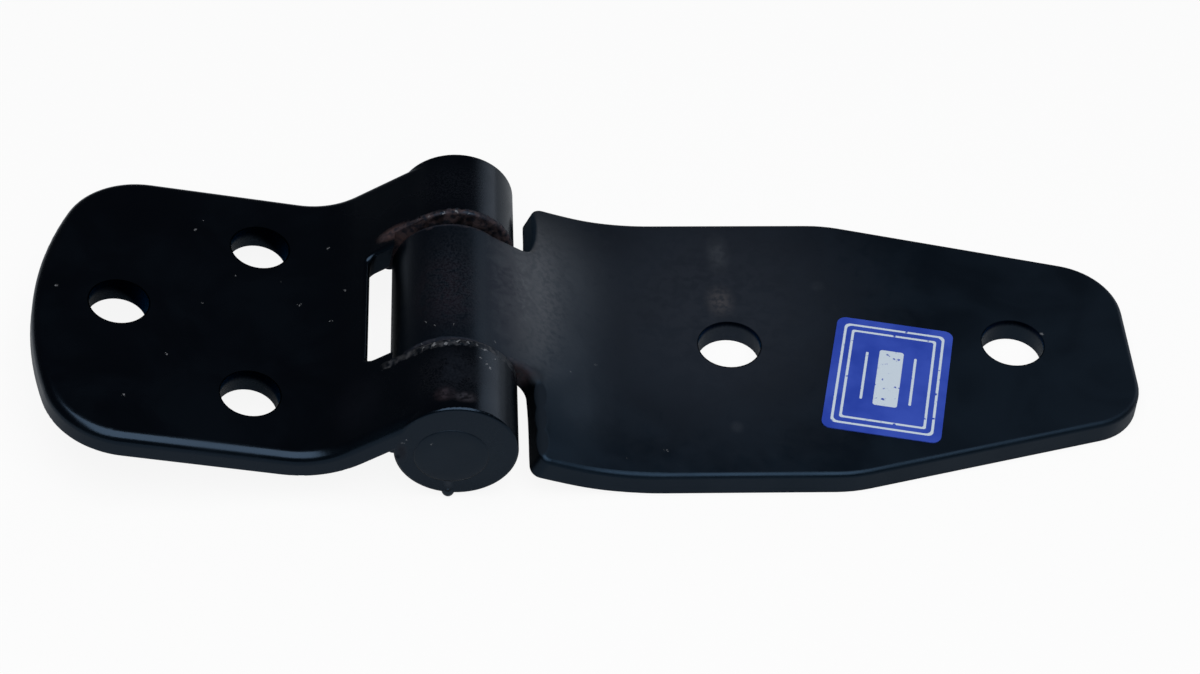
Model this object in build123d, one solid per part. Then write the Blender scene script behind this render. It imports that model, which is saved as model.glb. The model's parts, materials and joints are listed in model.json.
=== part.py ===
import math
import os

from build123d import *

os.makedirs("parts", exist_ok=True)

# Bar stock and pin, mm
bar_width = 75.5
fork_overhang = 0.4
bar_thickness = 5.6
pin_diameter = 14.0
pin_chamfer = 0.4

# Clearances, mm
strap_bore_clearance = 0.08
fork_bore_clearance = 0.02
tongue_front_gap = 0.6
tongue_rear_gap = 1.6
shoulder_gap = 5.0
window_gap = 4.9
mouth_gap = 0.6

# Strap leaf: places along the leaf are measured from the pin axis
tongue_width = 35.4
shoulder_corner_radius = 3.5
shoulder_outer_radius = 2.5
shoulder_cut_deg = 25.0
shoulder_rake = 2.8
strap_bend_radius = 36.0
strap_neck_deg = 33.0
neck_bite = 0.2
taper_x = 83.4
strap_end_x = 146.8
strap_end_width = 43.0
strap_rear_corner_radius = 15.5
strap_front_corner_radius = 12.5
taper_corner_radius = 30.0
strap_hole_x = 59.8
strap_hole_spacing = 61.5
strap_hole_diameter = 13.5
strap_edge_radius = 1.1
strap_low_edge_radius = 0.4

# Crown of the strap's bend: part of the half width, and the share of the rise left there
crown = [(0.0, 1.0), (0.46, 0.985), (0.74, 0.79), (1.03, 0.53)]

# Fork leaf: in its own flat frame with the pin axis at the origin
fork_seat_rise = 0.8
fork_eye_wall = 5.68
fork_eye_offset_x = 0.75
fork_eye_offset_z = 1.4
fork_slope_deg = 43.0
fork_bend_radius = 17.0
fork_end_x = 87.0
fork_end_radius = 76.0
fork_corner_radius = 18.0
fork_outer_hole_x = 69.4
fork_pair_hole_x = 40.8
fork_pair_spacing = 43.4
fork_hole_diameter = 12.5
lip_width = 31.5
lip_corner_radius = 1.6
fork_edge_radius = 2.3
fork_low_edge_radius = 0.5
fork_eye_edge_radius = 0.6
window_edge_radius = 0.9

# Welds that close the rolled eyes against their own bars
strap_bead_radius = 2.2
fork_bead_radius = 1.2

# Lift of the fork leaf at rest, from flat
fork_lift_deg = 10.75

# Blank sticker on the strap
label_length = 25.2
label_width = 33.2
label_thickness = 0.2
label_corner_radius = 2.0
label_x = 93.0
label_y = -10.6
label_turn_deg = -12.0

# Sizes that follow from the ones above
pin_radius = pin_diameter / 2
strap_bore_radius = pin_radius + strap_bore_clearance
fork_bore_radius = pin_radius + fork_bore_clearance
strap_eye_radius = strap_bore_radius + bar_thickness
fork_eye_radius = fork_bore_radius + fork_eye_wall
pin_height = strap_eye_radius
fork_drop = pin_height - fork_seat_rise
fork_eye = (fork_eye_offset_x, fork_eye_offset_z)
shoulder_x = strap_eye_radius + shoulder_gap
window_x = strap_eye_radius + window_gap
mouth_x = strap_eye_radius + mouth_gap
window_rear = tongue_width / 2 + tongue_rear_gap
window_front = -tongue_width / 2 - tongue_front_gap
pin_x = -(strap_hole_x + strap_hole_spacing / 2)
half_strap = bar_width / 2
half_fork = half_strap + fork_overhang
fork_width = 2 * half_fork
cut_reach = 2 * (fork_width + strap_eye_radius)

# Places of the fork's bolt holes
pair_y = fork_pair_spacing / 2
fork_holes = [(-fork_outer_hole_x, 0), (-fork_pair_hole_x, -pair_y), (-fork_pair_hole_x, pair_y)]

# Line of the strap's neck and the bend below it
neck_slope = math.radians(strap_neck_deg)
neck_reach = strap_eye_radius - neck_bite
neck_foot_x = (neck_reach + (pin_height - bar_thickness) * math.cos(neck_slope)) / math.sin(neck_slope)
strap_bend_x = neck_foot_x + strap_bend_radius * math.tan(neck_slope / 2)


def on_circle(centre, radius, degrees):
    angle = math.radians(degrees)
    return (centre[0] + radius * math.cos(angle), centre[1] + radius * math.sin(angle))


def arc(centre, radius, start_deg, stop_deg):
    spots = [on_circle(centre, radius, d) for d in (start_deg, (start_deg + stop_deg) / 2, stop_deg)]
    return ThreePointArc(*spots)


def side_slab(sketch, width):
    return extrude(Plane.XZ * sketch, amount=width / 2, both=True)


def nearest(shape, x, y):
    return shape.vertices().sort_by_distance((x, y, 0))[0]


def round_loop(leaf, spot, radius):
    return fillet(leaf.edges().sort_by_distance(spot)[0], radius)


def pin_bore(radius):
    return Rot(90, 0, 0) * Cylinder(radius, cut_reach)


# Top line of the strap's bend and neck at mid-width: place, rise above the flat and slope
def bend_line():
    line = []
    for share in (0, 0.25, 0.5, 0.75, 1):
        angle = share * neck_slope
        rise = strap_bend_radius * (1 - math.cos(angle))
        line.append((strap_bend_x - strap_bend_radius * math.sin(angle), rise, angle))
    x, rise, _ = line[-1]
    end_x = neck_reach * math.sin(neck_slope)
    for share in (0.5, 1):
        step = share * (x - end_x)
        line.append((x - step, rise + step * math.tan(neck_slope), neck_slope))
    return line


# One lengthwise section of the bend, with its rise scaled for the crown
def bend_section(y, rise_share):
    top = []
    low = []
    for x, rise, angle in bend_line():
        slope = math.atan(rise_share * math.tan(angle))
        z = bar_thickness + rise_share * rise
        top.append((x, z))
        low.append((x - bar_thickness * math.sin(slope), z - bar_thickness * math.cos(slope)))
    climb = (-math.cos(slope), math.sin(slope))
    fall = (math.cos(slope), -math.sin(slope))
    outline = Spline(*top, tangents=[(-1, 0), climb])
    outline += Line(top[-1], low[-1])
    outline += Spline(*low[::-1], tangents=[fall, (1, 0)])
    outline += Line(low[0], top[0])
    return Pos(0, y, 0) * (Plane.XZ * make_face(outline))


def strap_bar():
    sides = [(-part, share) for part, share in crown[:0:-1]] + crown
    bend = loft([bend_section(part * half_strap, share) for part, share in sides])
    loft_width = 2 * crown[-1][0] * half_strap
    flat = Box(cut_reach, loft_width, bar_thickness, align=(Align.MIN, Align.CENTER, Align.MIN))
    return bend + Pos(strap_bend_x, 0, 0) * flat


def strap_plan():
    half_end = strap_end_width / 2
    corners = [(-cut_reach, -half_strap), (taper_x, -half_strap), (strap_end_x, -half_end)]
    corners += [(strap_end_x, half_end), (taper_x, half_strap), (-cut_reach, half_strap)]
    face = make_face(Polyline(*corners, close=True))
    end_radii = [strap_front_corner_radius, strap_rear_corner_radius]
    for corner, radius in zip(corners[1:5], [taper_corner_radius, *end_radii, taper_corner_radius]):
        face = fillet(nearest(face, *corner), radius)
    return face


# Shoulders and tongue, cut square to the crowned bar where the shoulders end
def strap_tongue():
    half_tongue = tongue_width / 2
    rear = [(-cut_reach, half_tongue), (0, half_tongue)]
    rear += [(shoulder_rake, half_strap), (2 * cut_reach, half_strap)]
    front = [(x, -y) for x, y in rear[::-1]]
    face = make_face(Polyline(*rear, *front, close=True))
    for x, y, radius in (
        (shoulder_rake, half_strap, shoulder_outer_radius),
        (0, half_tongue, shoulder_corner_radius),
    ):
        face = fillet([nearest(face, x, -y), nearest(face, x, y)], radius)
    top_z = bar_thickness + (neck_foot_x - shoulder_x) * math.tan(neck_slope)
    place = Pos(shoulder_x, 0, top_z) * Rot(0, shoulder_cut_deg, 0)
    return place * extrude(face, amount=cut_reach, both=True)


def strap_eye():
    disc = Rot(90, 0, 0) * Cylinder(strap_eye_radius, tongue_width)
    disc = fillet(disc.edges().filter_by(GeomType.CIRCLE), strap_edge_radius)
    bead = Rot(90, 0, 0) * Cylinder(strap_bead_radius, tongue_width - 2 * strap_edge_radius)
    return disc + Pos(strap_eye_radius, 0, 0) * bead


def strap_leaf():
    leaf = strap_bar() & extrude(strap_plan(), amount=cut_reach, both=True)
    leaf = leaf & strap_tongue()
    side = (strap_hole_x, half_strap)
    leaf = round_loop(leaf, (*side, 0), strap_low_edge_radius)
    leaf = round_loop(leaf, (*side, bar_thickness), strap_edge_radius)
    leaf += Pos(0, 0, pin_height) * strap_eye()
    leaf -= Pos(0, 0, pin_height) * pin_bore(strap_bore_radius)
    for step in (0, strap_hole_spacing):
        leaf -= Pos(strap_hole_x + step, 0, 0) * Cylinder(strap_hole_diameter / 2, cut_reach)
    return Pos(pin_x, 0, 0) * leaf


# Side view of the fork's plate: flat, bend and the slope that runs up to the eye
def plate_profile():
    slope = math.radians(fork_slope_deg)
    low_z = -fork_drop
    top_z = low_z + bar_thickness
    meet_deg = 90 + fork_slope_deg
    turn_deg = 270 + fork_slope_deg
    meet = on_circle(fork_eye, fork_eye_radius, meet_deg)
    inside = on_circle(fork_eye, fork_eye_radius - bar_thickness, meet_deg)
    bend_x = meet[0] - (meet[1] - top_z) / math.tan(slope) - fork_bend_radius * math.tan(slope / 2)
    bend = (bend_x, top_z + fork_bend_radius)
    low_bend = fork_bend_radius + bar_thickness
    far_x = -fork_end_x - fork_width
    outline = Line((far_x, top_z), (bend_x, top_z))
    outline += arc(bend, fork_bend_radius, 270, turn_deg)
    outline += Line(on_circle(bend, fork_bend_radius, turn_deg), meet)
    outline += Line(meet, inside)
    outline += Line(inside, on_circle(bend, low_bend, turn_deg))
    outline += arc(bend, low_bend, turn_deg, 270)
    outline += Line((bend_x, low_z), (far_x, low_z))
    outline += Line((far_x, low_z), (far_x, top_z))
    return make_face(outline)


def plate_plan():
    sag = fork_end_radius - math.sqrt(fork_end_radius**2 - half_fork**2)
    side_x = sag - fork_end_x
    front = [(side_x, -half_fork), (cut_reach, -half_fork)]
    rear = [(cut_reach, half_fork), (side_x, half_fork)]
    outline = Polyline(*front, *rear)
    outline += ThreePointArc((side_x, half_fork), (-fork_end_x, 0), (side_x, -half_fork))
    face = make_face(outline)
    for y in (-half_fork, half_fork):
        face = fillet(nearest(face, side_x, y), fork_corner_radius)
    return face


# Opening between the prongs where the strap's eye turns: a slot at the lip, then the wider mouth
def fork_window():
    half_lip = lip_width / 2
    rear = [(-window_x, half_lip), (-mouth_x, half_lip), (-mouth_x, window_rear), (cut_reach, window_rear)]
    front = [(-window_x, -half_lip), (-mouth_x, -half_lip), (-mouth_x, window_front), (cut_reach, window_front)]
    face = make_face(Polyline(*rear, *front[::-1], close=True))
    for corner in (rear[0], front[0]):
        face = fillet(nearest(face, *corner), lip_corner_radius)
    return extrude(face, amount=cut_reach, both=True)


def fork_plate():
    plate = side_slab(plate_profile(), fork_width) & extrude(plate_plan(), amount=cut_reach, both=True)
    side = (-fork_pair_hole_x, half_fork)
    plate = round_loop(plate, (*side, bar_thickness - fork_drop), fork_edge_radius)
    plate = round_loop(plate, (*side, -fork_drop), fork_low_edge_radius)
    plate -= fork_window()
    lip = plate.edges().filter_by(Axis.Y).group_by(lambda edge: abs(edge.center().X + window_x))[0]
    plate = fillet(lip, window_edge_radius)
    for x, y in fork_holes:
        plate -= Pos(x, y, 0) * Cylinder(fork_hole_diameter / 2, cut_reach)
    return plate


# One rolled eye between two places along the pin, with the weld that closes it on the plate
def fork_eye_ring(start_y, stop_y):
    length = stop_y - start_y
    ring = Rot(90, 0, 0) * Cylinder(fork_eye_radius, length)
    ring = fillet(ring.edges().filter_by(GeomType.CIRCLE), fork_eye_edge_radius)
    bead = Rot(90, 0, 0) * Cylinder(fork_bead_radius, length - 2 * fork_eye_edge_radius)
    seam_deg = 90 + fork_slope_deg + math.degrees(math.acos(1 - bar_thickness / fork_eye_radius))
    seam_x, seam_z = on_circle((0, 0), fork_eye_radius, seam_deg)
    ring += Pos(seam_x, 0, seam_z) * bead
    return Pos(fork_eye[0], (start_y + stop_y) / 2, fork_eye[1]) * ring


def fork_leaf():
    leaf = fork_plate()
    for start_y, stop_y in ((-half_fork, window_front), (window_rear, half_fork)):
        leaf += fork_eye_ring(start_y, stop_y)
    leaf -= pin_bore(fork_bore_radius)
    return Pos(pin_x, 0, pin_height) * Rot(0, fork_lift_deg, 0) * leaf


def hinge_pin():
    pin = Rot(90, 0, 0) * Cylinder(pin_radius, fork_width)
    return Pos(pin_x, 0, pin_height) * chamfer(pin.edges().filter_by(GeomType.CIRCLE), pin_chamfer)


def blank_label():
    face = RectangleRounded(label_length, label_width, label_corner_radius)
    place = Pos(pin_x + label_x, label_y, bar_thickness) * Rot(0, 0, label_turn_deg)
    return place * extrude(face, amount=label_thickness)


for node, shape in {
    "strap_leaf": strap_leaf(),
    "fork_leaf": fork_leaf(),
    "hinge_pin": hinge_pin(),
    "blank_label": blank_label(),
}.items():
    export_step(shape, f"parts/{node}.step")
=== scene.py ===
import json
import math

import bmesh
import bpy
from mathutils import Euler, Matrix, Vector


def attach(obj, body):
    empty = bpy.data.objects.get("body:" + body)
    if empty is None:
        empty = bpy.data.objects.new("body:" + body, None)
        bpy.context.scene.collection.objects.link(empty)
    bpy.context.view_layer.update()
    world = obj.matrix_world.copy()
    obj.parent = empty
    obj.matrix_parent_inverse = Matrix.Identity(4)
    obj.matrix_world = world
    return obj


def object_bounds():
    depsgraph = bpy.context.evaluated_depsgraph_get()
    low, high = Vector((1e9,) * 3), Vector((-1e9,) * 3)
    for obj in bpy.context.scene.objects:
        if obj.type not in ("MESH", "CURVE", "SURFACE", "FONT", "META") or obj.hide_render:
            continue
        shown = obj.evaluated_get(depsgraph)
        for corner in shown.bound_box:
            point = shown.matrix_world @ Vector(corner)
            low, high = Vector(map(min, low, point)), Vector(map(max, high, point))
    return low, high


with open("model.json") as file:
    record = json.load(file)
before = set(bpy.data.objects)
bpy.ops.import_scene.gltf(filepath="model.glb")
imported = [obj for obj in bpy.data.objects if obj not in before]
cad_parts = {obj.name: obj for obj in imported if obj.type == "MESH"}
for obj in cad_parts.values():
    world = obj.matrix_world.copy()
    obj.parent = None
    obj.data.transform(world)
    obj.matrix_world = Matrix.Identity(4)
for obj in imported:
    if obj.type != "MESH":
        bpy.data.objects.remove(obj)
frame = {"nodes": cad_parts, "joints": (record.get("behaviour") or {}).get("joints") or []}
cadLow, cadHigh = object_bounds()
nodes = frame["nodes"]
mm = 0.001  # places below are in millimetres, in the part's own frame
pinX, pinZ = (frame["joints"][0]["pos_m"][axis] / mm for axis in (0, 2))
print("frame loaded:", ", ".join(sorted(nodes)))


# node helpers

def startMaterial(name):
    material = bpy.data.materials.new(name)
    material.use_nodes = True
    tree = material.node_tree
    tree.nodes.clear()
    shader = tree.nodes.new("ShaderNodeBsdfPrincipled")
    output = tree.nodes.new("ShaderNodeOutputMaterial")
    tree.links.new(shader.outputs["BSDF"], output.inputs["Surface"])
    return material, tree, shader


def feed(tree, socket, value):
    if isinstance(value, bpy.types.NodeSocket):
        tree.links.new(value, socket)
    else:
        socket.default_value = value


def calc(tree, operation, *values):
    node = tree.nodes.new("ShaderNodeMath")
    node.operation = operation
    for socket, value in zip(node.inputs, values):
        feed(tree, socket, value)
    return node.outputs[0]


def vectorCalc(tree, operation, first, second=None):
    node = tree.nodes.new("ShaderNodeVectorMath")
    node.operation = operation
    feed(tree, node.inputs[0], first)
    if second is not None:
        feed(tree, node.inputs[1], second)
    return node.outputs["Value" if operation in ("LENGTH", "DISTANCE") else "Vector"]


def fade(tree, value, low, high):  # 0 at low, 1 at high, soft between
    node = tree.nodes.new("ShaderNodeMapRange")
    node.interpolation_type = "SMOOTHSTEP"
    feed(tree, node.inputs["Value"], value)
    node.inputs["From Min"].default_value = low
    node.inputs["From Max"].default_value = high
    return node.outputs["Result"]


def blendColour(tree, factor, under, over):
    node = tree.nodes.new("ShaderNodeMix")
    node.data_type = "RGBA"
    feed(tree, node.inputs[0], factor)
    feed(tree, node.inputs[6], under)
    feed(tree, node.inputs[7], over)
    return node.outputs[2]


def blendValue(tree, factor, under, over):
    node = tree.nodes.new("ShaderNodeMix")
    feed(tree, node.inputs[0], factor)
    feed(tree, node.inputs[2], under)
    feed(tree, node.inputs[3], over)
    return node.outputs[0]


def cloud(tree, coords, scale, detail, distortion=0.0):
    node = tree.nodes.new("ShaderNodeTexNoise")
    tree.links.new(coords, node.inputs["Vector"])
    node.inputs["Scale"].default_value = scale
    node.inputs["Detail"].default_value = detail
    node.inputs["Distortion"].default_value = distortion
    return node.outputs["Fac"]


def splitAxes(tree, vector):
    node = tree.nodes.new("ShaderNodeSeparateXYZ")
    tree.links.new(vector, node.inputs["Vector"])
    return node.outputs["X"], node.outputs["Y"], node.outputs["Z"]


def metres(values):
    return [value * mm for value in values]


def rgba(colour):
    return (*colour, 1.0)


def dress(piece, material):
    piece.data.materials.clear()
    piece.data.materials.append(material)


def addPiece(name, shape):  # a smooth object at the origin, with its place in its mesh
    mesh = bpy.data.meshes.new(name)
    shape.to_mesh(mesh)
    shape.free()
    mesh.shade_smooth()
    piece = bpy.data.objects.new(name, mesh)
    bpy.context.scene.collection.objects.link(piece)
    return piece


# black paint with its wear and painted light: blots, rusty rings, chips and dust

def blot(place, reach, colour, strength=1.0, core=0.2, ragged=0.6, rough=0.5, mottle=0.0, noise="drift",
         paintedShade=False):
    return {"place": place, "reach": reach, "colour": colour, "strength": strength, "core": core,
            "ragged": ragged, "rough": rough, "mottle": mottle, "noise": noise, "paintedShade": paintedShade}


def shadedHoleWall(place, radius, depth):  # a bolt hole's wall in painted shade: black metal that mirrors nothing
    return blot(place, (radius, radius, depth), (0.0, 0.0, 0.0), core=0.94, ragged=0.05, paintedShade=True)


def breakUp(tree, mask, noise, limits, mark):  # lets the noise show through by the mark's own mottle
    share = mark["mottle"]
    patches = calc(tree, "MULTIPLY_ADD", fade(tree, noise, *limits), share, 1.0 - share)
    return calc(tree, "MULTIPLY", calc(tree, "MULTIPLY", mask, patches), mark["strength"])


def blotMask(tree, coords, noise, spot, look):  # a ragged oval round one place, for wear and for painted light
    offset = vectorCalc(tree, "SUBTRACT", coords, metres(spot["place"]))
    scaled = vectorCalc(tree, "DIVIDE", offset, metres(spot["reach"]))
    reach = vectorCalc(tree, "LENGTH", scaled)
    ragged = calc(tree, "MULTIPLY_ADD", noise, spot["ragged"], reach)
    shift = 0.5 * spot["ragged"]
    mask = fade(tree, ragged, 1.0 + shift, spot["core"] + shift)
    return breakUp(tree, mask, noise, look["blotPatches"], spot)


def ringMask(tree, coords, noises, ring, look):  # a ragged, patchy band across the pin, round its upper side
    x, y, z = splitAxes(tree, coords)
    wobble = calc(tree, "MULTIPLY_ADD", noises["grain"], ring["ragged"] * mm, y)
    start, end = (ring[edge] + 0.5 * ring["ragged"] for edge in ("from", "to"))
    rise = fade(tree, wobble, (start - ring["soft"]) * mm, start * mm)
    drop = fade(tree, wobble, (end + ring["soft"]) * mm, end * mm)
    aside = calc(tree, "ABSOLUTE", calc(tree, "SUBTRACT", x, pinX * mm))
    near = fade(tree, aside, ring["reach"] * mm, (ring["reach"] - look["ringSideFade"]) * mm)
    floor = pinZ + ring["floor"]
    upper = fade(tree, z, floor * mm, (floor + look["ringLowFade"]) * mm)
    band = calc(tree, "MULTIPLY", calc(tree, "MULTIPLY", rise, drop), calc(tree, "MULTIPLY", near, upper))
    return breakUp(tree, band, noises["cloudy"], look["ringPatches"], ring)


def speckMask(tree, coords, look):  # a few small chips, each of its own ragged shape
    shake = tree.nodes.new("ShaderNodeTexNoise")
    tree.links.new(coords, shake.inputs["Vector"])
    shake.inputs["Scale"].default_value = look["shakeScale"]
    centred = vectorCalc(tree, "SUBTRACT", shake.outputs["Color"], (0.5, 0.5, 0.5))
    offset = vectorCalc(tree, "MULTIPLY", centred, (look["shake"] * mm,) * 3)
    shaken = vectorCalc(tree, "ADD", coords, offset)
    mask = 0.0
    for *place, radius in look["specks"]:
        near = vectorCalc(tree, "DISTANCE", shaken, metres(place))
        chip = fade(tree, near, radius * mm, look["chipCore"] * radius * mm)
        mask = calc(tree, "MAXIMUM", mask, chip)
    return mask


def dustMask(tree, coords, look):  # stray dust grains, a few in each patch of surface
    cells = tree.nodes.new("ShaderNodeTexVoronoi")
    tree.links.new(coords, cells.inputs["Vector"])
    cells.inputs["Scale"].default_value = look["dustScale"]
    pick = tree.nodes.new("ShaderNodeSeparateColor")
    tree.links.new(cells.outputs["Color"], pick.inputs["Color"])
    grain = fade(tree, cells.outputs["Distance"], look["dustSize"], look["dustCore"] * look["dustSize"])
    kept = calc(tree, "GREATER_THAN", pick.outputs["Red"], 1.0 - look["dustShare"])
    return calc(tree, "MULTIPLY", grain, kept)


def paintFinish(name, look):
    material, tree, shader = startMaterial(name)
    source = tree.nodes.new("ShaderNodeTexCoord")
    coords = source.outputs["Object"]
    noises = {kind: cloud(tree, coords, *settings) for kind, settings in look["noises"].items()}
    upward = splitAxes(tree, source.outputs["Normal"])[2]
    paintedFacingLight = fade(tree, upward, *look["paintedFacingRange"])  # painted light: faces take the top colour as they turn up and the side colour as they turn aside, standing in for how light and reflections fall on them
    colour = blendColour(tree, paintedFacingLight, rgba(look["side"]), rgba(look["top"]))
    rough = blendValue(tree, fade(tree, noises["drift"], *look["driftRange"]), *look["rough"])
    paintedShade = 0.0
    for spot in look["blots"]:
        mask = blotMask(tree, coords, noises[spot["noise"]], spot, look)
        colour = blendColour(tree, mask, colour, rgba(spot["colour"]))
        rough = blendValue(tree, mask, rough, spot["rough"])
        if spot["paintedShade"]:
            paintedShade = calc(tree, "MAXIMUM", paintedShade, mask)
    rust = 0.0
    for ring in look["rings"]:
        mask = ringMask(tree, coords, noises, ring, look)
        flakes = fade(tree, noises["grain"], *look["rustRange"])
        rustColour = blendColour(tree, flakes, rgba(ring["dark"]), rgba(ring["pale"]))
        colour = blendColour(tree, mask, colour, rustColour)
        rough = blendValue(tree, mask, rough, ring["rough"])
        rust = calc(tree, "MAXIMUM", rust, mask)
    chips = calc(tree, "MAXIMUM", speckMask(tree, coords, look), dustMask(tree, coords, look))
    chips = calc(tree, "MULTIPLY", chips, look["chipStrength"])
    colour = blendColour(tree, chips, colour, rgba(look["chip"]))
    tree.links.new(colour, shader.inputs["Base Color"])
    tree.links.new(rough, shader.inputs["Roughness"])
    feed(tree, shader.inputs["Metallic"], paintedShade)  # painted shade: black metal, so a shaded hole wall mirrors nothing
    shader.inputs["Specular IOR Level"].default_value = look["gloss"]
    shader.inputs["Specular Tint"].default_value = rgba(look["glossTint"])
    height = calc(tree, "MULTIPLY_ADD", noises["drift"], look["waviness"], noises["peel"])
    crust = calc(tree, "MULTIPLY", rust, noises["grain"])
    height = calc(tree, "MULTIPLY_ADD", crust, look["rustHeight"], height)
    bump = tree.nodes.new("ShaderNodeBump")
    bump.inputs["Strength"].default_value = look["bump"]
    bump.inputs["Distance"].default_value = look["bumpDepth"] * mm
    tree.links.new(height, bump.inputs["Height"])
    tree.links.new(bump.outputs["Normal"], shader.inputs["Normal"])
    return material


# strap leaf: the long tapered leaf, hazier than the fork

strapLook = {
    # side and top colours are painted light: the sides are painted bluer than the top, as mirrored bluish
    # light
    "side": (0.0008, 0.0018, 0.0028),
    "top": (0.0008, 0.0014, 0.0026),
    "rough": (0.36, 0.48),
    "gloss": 0.5,
    "glossTint": (0.34, 0.62, 1.0),
    "noises": {  # scale, detail and distortion
        "grain": (900.0, 6.0),
        "drift": (60.0, 3.0, 0.6),
        "cloudy": (330.0, 8.0, 0.8),
        "fleck": (2300.0, 4.0),
        "peel": (1500.0, 2.0),
    },
    "paintedFacingRange": (0.35, 0.95),
    "driftRange": (0.3, 0.7),
    "blotPatches": (0.36, 0.64),
    "ringPatches": (0.36, 0.62),
    "ringSideFade": 2.0,
    "ringLowFade": 5.0,
    "rustRange": (0.38, 0.62),
    "rustHeight": 4.0,
    "waviness": 1.5,
    "bump": 0.25,
    "bumpDepth": 0.04,
    "chip": (0.28, 0.29, 0.31),
    "chipCore": 0.3,
    "chipStrength": 0.5,
    "shakeScale": 1700.0,
    "shake": 1.8,
    "dustScale": 90.0,
    "dustSize": 0.014,
    "dustCore": 0.4,
    "dustShare": 0.16,
    "blots": [
        blot((-34, 12, 6), (50, 60, 30), (0.0152, 0.0158, 0.0198),  # lighter grey over the flat: dust film with painted sheen
             core=0.1, ragged=0.5, mottle=0.3, noise="cloudy"),
        blot((-80, 0, 19), (8, 36, 10), (0.0180, 0.0190, 0.0230),  # rougher neck with painted sheen
             core=0.3, ragged=0.3, rough=0.85, mottle=0.2, noise="cloudy"),
        blot((-70, 18, 13), (22, 34, 14), (0.0360, 0.0390, 0.0440),  # painted sheen on the bend, in dusty mottled patches
             core=0.0, ragged=0.6, mottle=0.5, noise="cloudy"),
        # more painted sheen on the bend, in mottled patches
        blot((-75.5, 6, 16), (10, 34, 12), (0.0760, 0.0800, 0.0870),
             core=0.1, ragged=0.9, mottle=0.6, noise="cloudy"),
        blot((-73.5, 8, 15), (12, 34, 12), (0.0950, 0.0960, 0.1040),
             strength=0.45, mottle=1.0, noise="grain"),
        blot((-77, 2, 17), (7, 24, 9), (0.0130, 0.0105, 0.0145),
             strength=0.6, mottle=1.0, noise="grain"),
        blot((-93, 0, 24), (12, 34, 14), (0.0008, 0.0008, 0.0014),  # grime on the eye
             core=0.4, ragged=0.4, rough=0.32, mottle=0.3, noise="cloudy"),
        blot((-91, -3, 25), (10, 15, 8), (0.0100, 0.0056, 0.0074),  # brown cast
             strength=0.75, rough=0.36, mottle=1.0, noise="cloudy"),
        blot((-89, 0, 25), (14, 26, 9), (0.0190, 0.0190, 0.0215),
             strength=0.4, rough=0.6, mottle=1.0, noise="fleck"),
        blot((-80, 2, 20), (6, 22, 8), (0.0110, 0.0085, 0.0120),
             strength=0.7, rough=0.75, mottle=1.0, noise="cloudy"),
        blot((-103, 0, 14), (4, 24, 10), (0.0003, 0.0004, 0.0006),  # painted shade on the left flank
             core=0.6, ragged=0.2, rough=0.3),
        blot((-90, -17.7, 24), (14, 1.3, 9), (0.0110, 0.0085, 0.0105),  # dull rims
             core=0.6, ragged=0.3, rough=0.95, noise="grain"),
        blot((-90, 17.7, 24), (14, 1.3, 9), (0.0130, 0.0095, 0.0105),
             core=0.6, ragged=0.3, rough=0.95, noise="grain"),
        blot((-31.9, 13.2, 5.6), (4.4, 6.6, 2.4), (0.0620, 0.0560, 0.0560),  # worn by the hole
             strength=0.9, core=0.0, mottle=0.8, noise="grain"),
        blot((-31.4, 28.0, 5.6), (3.6, 8.5, 2.4), (0.0420, 0.0450, 0.0510),  # pale smears
             strength=0.7, core=0.0, mottle=0.6, noise="cloudy"),
        blot((-10.1, 17.8, 5.6), (2.2, 2.2, 2.0), (0.0240, 0.0260, 0.0310),
             strength=0.45, mottle=0.5, noise="cloudy"),
        blot((-30.9, -24.1, 5.6), (2.0, 2.4, 2.0), (0.0260, 0.0280, 0.0330),
             strength=0.45, mottle=0.5, noise="cloudy"),
        blot((-74.0, 28.2, 10.8), (2.8, 13.0, 8.0), (0.0003, 0.0005, 0.0005),  # painted shade on the cut ends
             core=0.8, ragged=0.2, rough=0.95),
        blot((-73.8, -27.5, 11.0), (4.0, 14.0, 10.0), (0.0002, 0.0003, 0.0004),
             core=0.8, ragged=0.2, rough=0.4),
        blot((-73.2, -18.6, 15.8), (2.8, 2.8, 2.4), (0.0200, 0.0205, 0.0230),  # dull edge of the front cut
             ragged=0.5, rough=0.9, noise="cloudy"),
        *(blot(place, (1.7, 4.0, 1.9), (0.0060, 0.0066, 0.0080), core=0.7, ragged=0.2, rough=0.95)
          for place in ((-72.2, -23.0, 14.2), (-72.2, -28.2, 13.0), (-72.0, -33.4, 11.6))),
        # bolt hole walls in painted shade
        shadedHoleWall((-30.75, 0.0, 5.4), 7.15, 4.6),
        shadedHoleWall((30.75, 0.0, 5.4), 7.15, 4.6),
        blot((-77.0, -18.0, 15.8), (5.0, 1.9, 5.2), (0.0360, 0.0210, 0.0200),  # rusty cut side
             rough=0.8, mottle=0.65, noise="grain"),
    ],
    "rings": [
        {"from": 16.9, "to": 20.0, "soft": 0.7, "ragged": 2.0, "reach": 14.5, "floor": 2.0, "strength": 0.6,
         "mottle": 0.8, "dark": (0.004, 0.003, 0.004), "pale": (0.034, 0.022, 0.021), "rough": 0.8},
        {"from": -18.4, "to": -17.0, "soft": 0.5, "ragged": 1.8, "reach": 15.0, "floor": 2.0, "strength": 0.6,
         "mottle": 0.8, "dark": (0.004, 0.003, 0.004), "pale": (0.046, 0.038, 0.040), "rough": 0.8},
    ],
    "specks": [  # place and radius
        (-65.5, -13.3, 11.3, 0.30), (-59.9, -8.6, 8.4, 0.30), (-54.2, -33.3, 6.3, 0.35),
        (-46.0, -30.5, 5.6, 0.40), (-89.8, -13.1, 25.3, 0.35), (-93.7, -12.9, 24.9, 0.30),
        (-95.6, -11.2, 24.3, 0.30), (-96.6, -17.1, 23.7, 0.35), (37.5, 2.7, 5.6, 0.45),
        (-81.4, -14.8, 21.6, 0.30),
    ],
}
dress(nodes["strap_leaf"], paintFinish("strapPaint", strapLook))
print("strap leaf painted")


# fork leaf: the short leaf, deeper black, with rust round the joint

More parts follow.
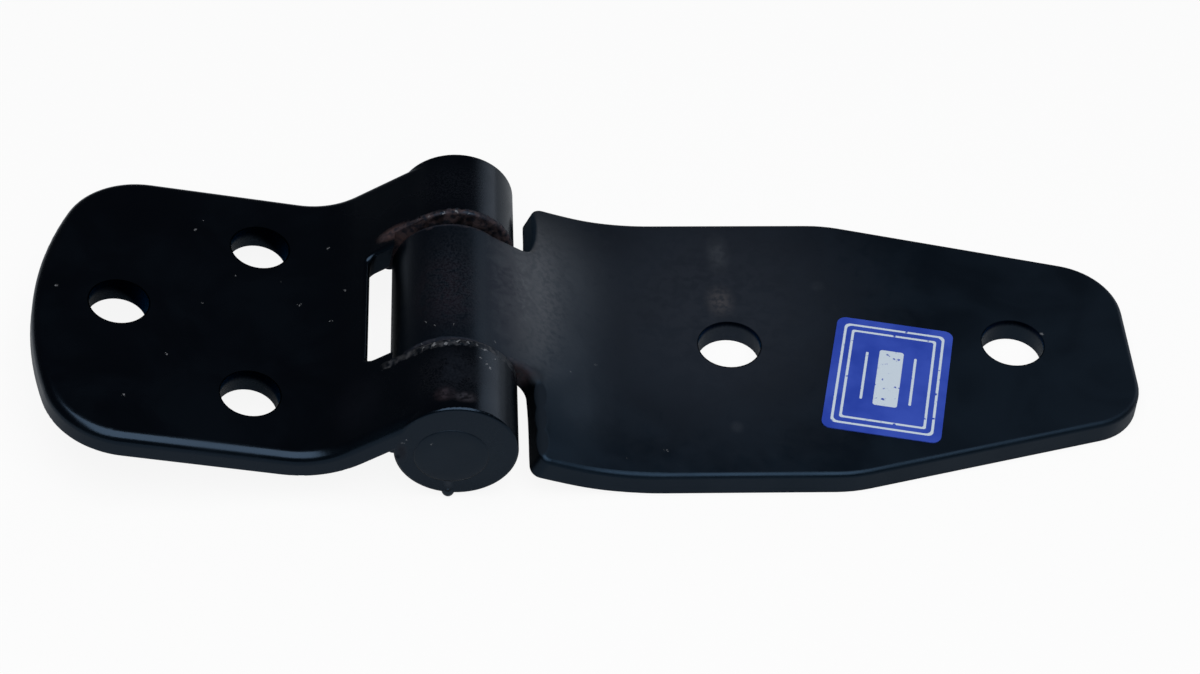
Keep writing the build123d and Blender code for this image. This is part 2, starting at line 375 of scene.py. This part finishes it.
forkLook = {
    **strapLook,
    # painted shade: the fork's top is painted much darker than its sides, because the tilted leaf catches
    # less light
    "side": (0.0008, 0.0020, 0.0032),
    "top": (0.0003, 0.0004, 0.0007),
    "rough": (0.20, 0.30),
    "glossTint": (0.42, 0.66, 1.0),
    "chipStrength": 0.6,
    "dustScale": 110.0,
    "dustShare": 0.2,
    "blots": [
        blot((-91.8, -33.6, 26.4), (3.0, 2.6, 2.4), (0.0240, 0.0115, 0.0105),  # rust on the front eye
             rough=0.7, mottle=0.75, noise="grain"),
        blot((-87.6, -34.6, 26.4), (3.4, 2.0, 2.4), (0.0250, 0.0170, 0.0165),
             rough=0.7, mottle=0.85, noise="grain"),
        blot((-100.6, -38.2, 14.0), (1.6, 1.5, 4.0), (0.0100, 0.0070, 0.0070),  # front seam
             rough=0.7, mottle=0.5, noise="grain"),
        # painted shade: a black spot in the crotch at the seam's end
        blot((-101.4, -38.2, 12.6), (0.8, 0.9, 0.9), (0.0002, 0.0002, 0.0003), rough=0.8),
        blot((-109, -27, 16), (8, 10, 10), (0.0032, 0.0026, 0.0040),  # brown cast on the slope
             strength=0.6, mottle=0.5, noise="cloudy"),
        blot((-90.0, -28, 25), (12, 11, 8), (0.0150, 0.0145, 0.0175),  # grime on the eyes
             strength=0.35, mottle=1.0, noise="fleck"),
        blot((-90.0, -27, 25), (9, 10, 8), (0.0055, 0.0055, 0.0075),
             strength=0.5, mottle=0.9, noise="cloudy"),
        blot((-90.0, 28, 25), (12, 11, 8), (0.0110, 0.0110, 0.0140),
             strength=0.3, mottle=1.0, noise="fleck"),
        blot((-88.0, -38.2, 13), (13, 1.5, 13), (0.0060, 0.0090, 0.0115),  # blotched front
             strength=0.6, mottle=0.9, noise="cloudy"),
        blot((-91.2, -38.2, 4.4), (1.2, 1.0, 2.2), (0.0300, 0.0330, 0.0380),  # run above the drop
             strength=0.8, mottle=0.4, noise="grain"),
        blot((-102, 19.4, 19), (5.0, 2.6, 7.0), (0.0700, 0.0370, 0.0310),  # bare rust
             core=0.4, rough=0.85, mottle=0.5, noise="grain"),
        blot((-103.5, 19.6, 11.6), (1.7, 1.6, 2.6), (0.0300, 0.0185, 0.0175),  # rusty end of the rear seam
             rough=0.8, mottle=0.4, noise="grain"),
        # bolt hole walls in painted shade
        shadedHoleWall((-159.9, 0.0, 19.4), 6.75, 13.0),
        shadedHoleWall((-131.8, -21.7, 14.1), 6.75, 8.0),
        shadedHoleWall((-131.8, 21.7, 14.1), 6.75, 12.0),
    ],
    "rings": [
        {"from": 18.6, "to": 20.2, "soft": 0.5, "ragged": 1.8, "reach": 16.0, "floor": -2.0, "strength": 1.0,
         "mottle": 0.65, "dark": (0.007, 0.005, 0.006), "pale": (0.052, 0.033, 0.031), "rough": 0.85},
        {"from": -20.0, "to": -18.6, "soft": 0.5, "ragged": 2.0, "reach": 15.0, "floor": 1.0, "strength": 0.8,
         "mottle": 0.8, "dark": (0.003, 0.003, 0.004), "pale": (0.060, 0.059, 0.062), "rough": 0.7},
    ],
    "specks": [
        (-172.8, 2.4, 21.9, 0.45), (-145.6, 24.8, 16.8, 0.40), (-144.3, 27.8, 16.5, 0.30),
        (-117.2, 22.8, 12.7, 0.35), (-122.7, 5.8, 12.5, 0.40), (-113.2, 8.6, 14.1, 0.35),
        (-149.2, -13.3, 17.4, 0.30), (-156.9, -26.3, 18.9, 0.30), (-115.8, 0.2, 13.1, 0.30),
        (-136.5, 12.0, 15.0, 0.30), (-127.0, 12.2, 13.2, 0.25), (-143.0, 2.6, 16.2, 0.25),
        (-94.0, -19.4, 25.8, 0.60), (-91.6, -19.6, 26.5, 0.55), (-83.3, -23.9, 25.0, 0.45),
        (-96.0, -19.2, 24.6, 0.60), (-89.0, -19.0, 26.5, 0.50), (-87.0, -19.3, 26.3, 0.50),
        (-97.8, -19.4, 23.3, 0.55), (-81.9, -21.6, 23.8, 0.40), (-85.2, -19.6, 25.8, 0.45),
        (-83.6, -20.2, 25.1, 0.50), (-82.6, -24.8, 24.4, 0.40), (-84.6, -22.9, 25.5, 0.40),
        # white flecks along the rear rim: chips that also stand in as painted glints of the rim's highlight
        (-92.0, 19.6, 26.3, 0.35), (-89.2, 19.7, 26.5, 0.40), (-86.6, 19.5, 26.2, 0.30),
        (-95.2, 19.6, 25.1, 0.30), (-97.6, 19.8, 23.5, 0.35), (-84.4, 19.5, 25.3, 0.25),
        (-100.3, -38.2, 16.6, 0.30), (-99.5, -38.2, 17.4, 0.25),
    ],
}
dress(nodes["fork_leaf"], paintFinish("forkPaint", forkLook))
print("fork leaf painted")


# hinge pin: its cut ends lie under a low skin of thick paint

pinLook = {
    **forkLook,
    "side": (0.0030, 0.0048, 0.0066),
    "rough": (0.36, 0.46),
    "blots": [
        blot((-93.0, -38.3, 12.0), (4.5, 2.0, 4.5), (0.0085, 0.0115, 0.0150), strength=0.8, mottle=0.5),
        blot((-88.0, -38.3, 15.5), (3.5, 2.0, 3.0), (0.0085, 0.0105, 0.0130), strength=0.6, mottle=0.6),
    ],
    "rings": [],
    "specks": [(-94.5, -38.3, 16.5, 0.35)],
}
capLook = {
    "profile": (  # radius and rise above the end face
        (7.7, -0.20), (7.7, 0.01), (7.3, 0.07), (6.6, 0.14), (5.4, 0.18), (3.0, 0.20), (0.0, 0.20)),
    "steps": 72,
    "merge": 0.001,
}
dress(nodes["hinge_pin"], paintFinish("pinPaint", pinLook))


def makeCap(name, side, look):  # a low dome turned about the pin's axis
    shape = bmesh.new()
    face = cadHigh[1] if side > 0 else cadLow[1]
    middle = Vector((pinX * mm, face, pinZ * mm))
    points = [Vector(metres((radius, side * rise, 0.0))) for radius, rise in look["profile"]]
    verts = [shape.verts.new(middle + point) for point in points]
    edges = [shape.edges.new(pair) for pair in zip(verts, verts[1:])]
    bmesh.ops.spin(shape, geom=verts + edges, cent=middle, axis=(0.0, 1.0, 0.0),
                   angle=2.0 * math.pi, steps=look["steps"], use_merge=True)
    bmesh.ops.remove_doubles(shape, verts=shape.verts, dist=look["merge"] * mm)
    bmesh.ops.recalc_face_normals(shape, faces=shape.faces)
    cap = addPiece(name, shape)
    dress(cap, nodes["hinge_pin"].data.materials[0])
    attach(cap, "fork")


makeCap("frontPinCap", -1, capLook)
makeCap("rearPinCap", 1, capLook)
print("hinge pin painted")


# paint drop: one bead of paint that ran down the front eye and set

dropLook = {
    "place": (-91.3, -37.3, 1.5),
    "radius": 1.35,
    "stretch": 1.1,
    "segments": 24,
    "rings": 16,
    "paint": {"side": (0.0150, 0.0175, 0.0210), "top": (0.0150, 0.0175, 0.0210), "rough": (0.10, 0.14)},
}


def makeDrop(look):
    shape = bmesh.new()
    bmesh.ops.create_uvsphere(
        shape, u_segments=look["segments"], v_segments=look["rings"], radius=look["radius"] * mm)
    bmesh.ops.scale(shape, vec=(1.0, 1.0, look["stretch"]), verts=shape.verts)
    bmesh.ops.translate(shape, vec=metres(look["place"]), verts=shape.verts)
    return addPiece("paintDrop", shape)


paintDrop = makeDrop(dropLook)
dress(paintDrop, paintFinish("dropPaint", {**forkLook, **dropLook["paint"], "blots": [], "rings": []}))
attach(paintDrop, "fork")
print("paint drop hung")


# rear seam: the weld that fills the corner between the rear eye and the bar's underside

seamLook = {
    "place": (-103.8, 28.0, 11.2),
    "radius": 2.2,
    "length": 16.8,
    "round": 0.6,
    "segments": 32,
    "steps": 3,
    "level": 0.01,  # an end's edges lie level within this
}


def makeSeam(look):
    shape = bmesh.new()
    radius = look["radius"] * mm
    bmesh.ops.create_cone(shape, cap_ends=True, segments=look["segments"], radius1=radius, radius2=radius,
                          depth=look["length"] * mm)
    ends = [edge for edge in shape.edges
            if abs(edge.verts[0].co.z - edge.verts[1].co.z) < look["level"] * mm]
    bmesh.ops.bevel(shape, geom=ends, offset=look["round"] * mm, affect="EDGES", segments=look["steps"],
                    profile=0.5, material=-1)
    bmesh.ops.rotate(shape, matrix=Matrix.Rotation(math.radians(90.0), 3, "X"), verts=shape.verts)
    bmesh.ops.translate(shape, vec=metres(look["place"]), verts=shape.verts)
    return addPiece("rearSeam", shape)


rearSeam = makeSeam(seamLook)
dress(rearSeam, nodes["fork_leaf"].data.materials[0])
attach(rearSeam, "fork")
print("rear seam filled")


# blank label: blue film with a plain double frame, two lines and an empty panel

labelLook = {
    "middle": (2.45, -10.6, 5.8),
    "turn": -12.0,
    "size": (25.2, 33.2),
    "blue": (0.024, 0.060, 0.420),
    "fadedBlue": (0.044, 0.092, 0.520),
    "fadeNoise": (120.0, 4.0),
    "fadeRange": (0.3, 0.7),
    "ink": (0.66, 0.76, 0.86),
    "wornNoise": (700.0, 5.0),
    "wornRange": (0.70, 0.62),
    "frames": ((1.75, 1.2), (3.45, 0.5)),  # inset from the rim and corner radius
    "lineWidth": 0.55,
    "lineSoft": 0.06,
    "ruleHalf": 7.0,
    "rulePlaces": (-5.2, 5.2),
    "ruleCorner": 0.2,
    "panelHalf": (2.6, 8.2),
    "panelCorner": 0.6,
    "rough": 0.32,
    "gloss": 0.3,
}


def slabMask(tree, across, along, half, corner, soft):  # 1 inside a round-cornered rectangle
    point = tree.nodes.new("ShaderNodeCombineXYZ")
    feed(tree, point.inputs["X"], calc(tree, "ABSOLUTE", across))
    feed(tree, point.inputs["Y"], calc(tree, "ABSOLUTE", along))
    core = [*metres(value - corner for value in half), 0.0]
    beyond = vectorCalc(tree, "SUBTRACT", point.outputs["Vector"], core)
    outside = vectorCalc(tree, "MAXIMUM", beyond, (0.0, 0.0, 0.0))
    reach = vectorCalc(tree, "LENGTH", outside)
    return fade(tree, reach, (corner + soft) * mm, (corner - soft) * mm)


def labelInk(tree, coords, look):  # 1 where the panel, the frames and the lines are printed
    across, along, _ = splitAxes(tree, coords)
    width, soft = look["lineWidth"], look["lineSoft"]
    ink = slabMask(tree, across, along, look["panelHalf"], look["panelCorner"], soft)
    for inset, corner in look["frames"]:
        outer = [side / 2 - inset for side in look["size"]]
        inner = [side - width for side in outer]
        filled = slabMask(tree, across, along, outer, corner, soft)
        cleared = slabMask(tree, across, along, inner, corner, soft)
        ink = calc(tree, "MAXIMUM", ink, calc(tree, "SUBTRACT", filled, cleared))
    for rulePlace in look["rulePlaces"]:
        shifted = calc(tree, "SUBTRACT", across, rulePlace * mm)
        rule = slabMask(tree, shifted, along, (width / 2, look["ruleHalf"]), look["ruleCorner"], soft)
        ink = calc(tree, "MAXIMUM", ink, rule)
    return ink


def labelFinish(name, look):
    material, tree, shader = startMaterial(name)
    source = tree.nodes.new("ShaderNodeTexCoord")
    coords = source.outputs["Object"]
    turned = tree.nodes.new("ShaderNodeMapping")
    turned.vector_type = "TEXTURE"
    tree.links.new(coords, turned.inputs["Vector"])
    turned.inputs["Location"].default_value = metres(look["middle"])
    turned.inputs["Rotation"].default_value = (0.0, 0.0, math.radians(look["turn"]))
    ink = labelInk(tree, turned.outputs["Vector"], look)
    faded = fade(tree, cloud(tree, coords, *look["fadeNoise"]), *look["fadeRange"])
    blue = blendColour(tree, faded, rgba(look["blue"]), rgba(look["fadedBlue"]))
    worn = fade(tree, cloud(tree, coords, *look["wornNoise"]), *look["wornRange"])
    colour = blendColour(tree, calc(tree, "MULTIPLY", ink, worn), blue, rgba(look["ink"]))
    tree.links.new(colour, shader.inputs["Base Color"])
    shader.inputs["Roughness"].default_value = look["rough"]
    shader.inputs["Specular IOR Level"].default_value = look["gloss"]
    return material


dress(nodes["blank_label"], labelFinish("labelFilm", labelLook))
print("label printed")


# floor, light and camera, in metres

floorLook = {
    "half": 6.0,
    "height": -0.00003,
    "pale": (0.42, 0.44, 0.46),
    "white": (0.93, 0.93, 0.93),
    "seenShare": 0.90,
    "mirroredShare": 0.06,
}


def floorFinish(look):
    material = bpy.data.materials.new("studioFloor")
    material.use_nodes = True
    tree = material.node_tree
    tree.nodes.clear()
    ray = tree.nodes.new("ShaderNodeLightPath")
    mirrored = calc(tree, "MAXIMUM", ray.outputs["Is Glossy Ray"], ray.outputs["Is Transmission Ray"])
    seen = calc(tree, "MULTIPLY", ray.outputs["Is Camera Ray"], look["seenShare"])
    share = calc(tree, "MULTIPLY_ADD", mirrored, look["mirroredShare"], seen)
    matte = tree.nodes.new("ShaderNodeBsdfDiffuse")
    pale = blendColour(tree, ray.outputs["Is Camera Ray"], rgba(look["pale"]), rgba(look["white"]))
    tree.links.new(pale, matte.inputs["Color"])
    glow = tree.nodes.new("ShaderNodeEmission")
    mix = tree.nodes.new("ShaderNodeMixShader")
    tree.links.new(share, mix.inputs["Fac"])
    tree.links.new(matte.outputs["BSDF"], mix.inputs[1])
    tree.links.new(glow.outputs["Emission"], mix.inputs[2])
    output = tree.nodes.new("ShaderNodeOutputMaterial")
    tree.links.new(mix.outputs["Shader"], output.inputs["Surface"])
    return material


floorShape = bmesh.new()
bmesh.ops.create_grid(floorShape, x_segments=1, y_segments=1, size=floorLook["half"])
bmesh.ops.translate(floorShape, vec=(0.0, 0.0, floorLook["height"]), verts=floorShape.verts)
studioFloor = addPiece("studioFloor", floorShape)
dress(studioFloor, floorFinish(floorLook))
print("floor laid")

lightLook = {
    "aim": (-0.06, 0.0, 0.01),
    "lamps": {
        "overhead": {
            "place": (-0.06, -0.28, 0.85), "size": (0.9, 1.1), "power": 8.4, "colour": (1.0, 1.0, 1.0)},
        "sideBox": {
            "place": (1.0, 0.78, 0.45), "size": (0.85, 0.85), "power": 1.8, "colour": (0.97, 0.98, 1.0)},
    },
    "worldColour": (0.032, 0.036, 0.044),
    "worldStrength": 1.0,
}


def addLamp(name, lamp, aim):
    data = bpy.data.lights.new(name, "AREA")
    data.shape = "RECTANGLE"
    data.size, data.size_y = lamp["size"]
    data.energy = lamp["power"]
    data.color = lamp["colour"]
    light = bpy.data.objects.new(name, data)
    light.location = lamp["place"]
    light.rotation_euler = (Vector(aim) - light.location).to_track_quat("-Z", "Y").to_euler()
    bpy.context.scene.collection.objects.link(light)


for lampName, lampValues in lightLook["lamps"].items():
    addLamp(lampName, lampValues, lightLook["aim"])

world = bpy.data.worlds.new("studio")
bpy.context.scene.world = world
world.use_nodes = True
background = world.node_tree.nodes["Background"]
background.inputs["Color"].default_value = rgba(lightLook["worldColour"])
background.inputs["Strength"].default_value = lightLook["worldStrength"]
print("lamps lit")

cameraLook = {
    "place": (-0.0894323, -0.4205560, 0.4366580),
    "turn": (44.5031, -1.8929, -2.2529),
    "lens": 84.285,
    "sensor": 36.0,
    "nearest": 0.01,
}
cameraData = bpy.data.cameras.new("studioCamera")
cameraData.sensor_width = cameraLook["sensor"]
cameraData.lens = cameraLook["lens"]
cameraData.clip_start = cameraLook["nearest"]
studioCamera = bpy.data.objects.new("studioCamera", cameraData)
studioCamera.location = cameraLook["place"]
studioCamera.rotation_euler = Euler([math.radians(angle) for angle in cameraLook["turn"]], "XYZ")
bpy.context.scene.collection.objects.link(studioCamera)
bpy.context.scene.camera = studioCamera
bpy.context.scene.view_settings.view_transform = "Standard"
print("camera set")
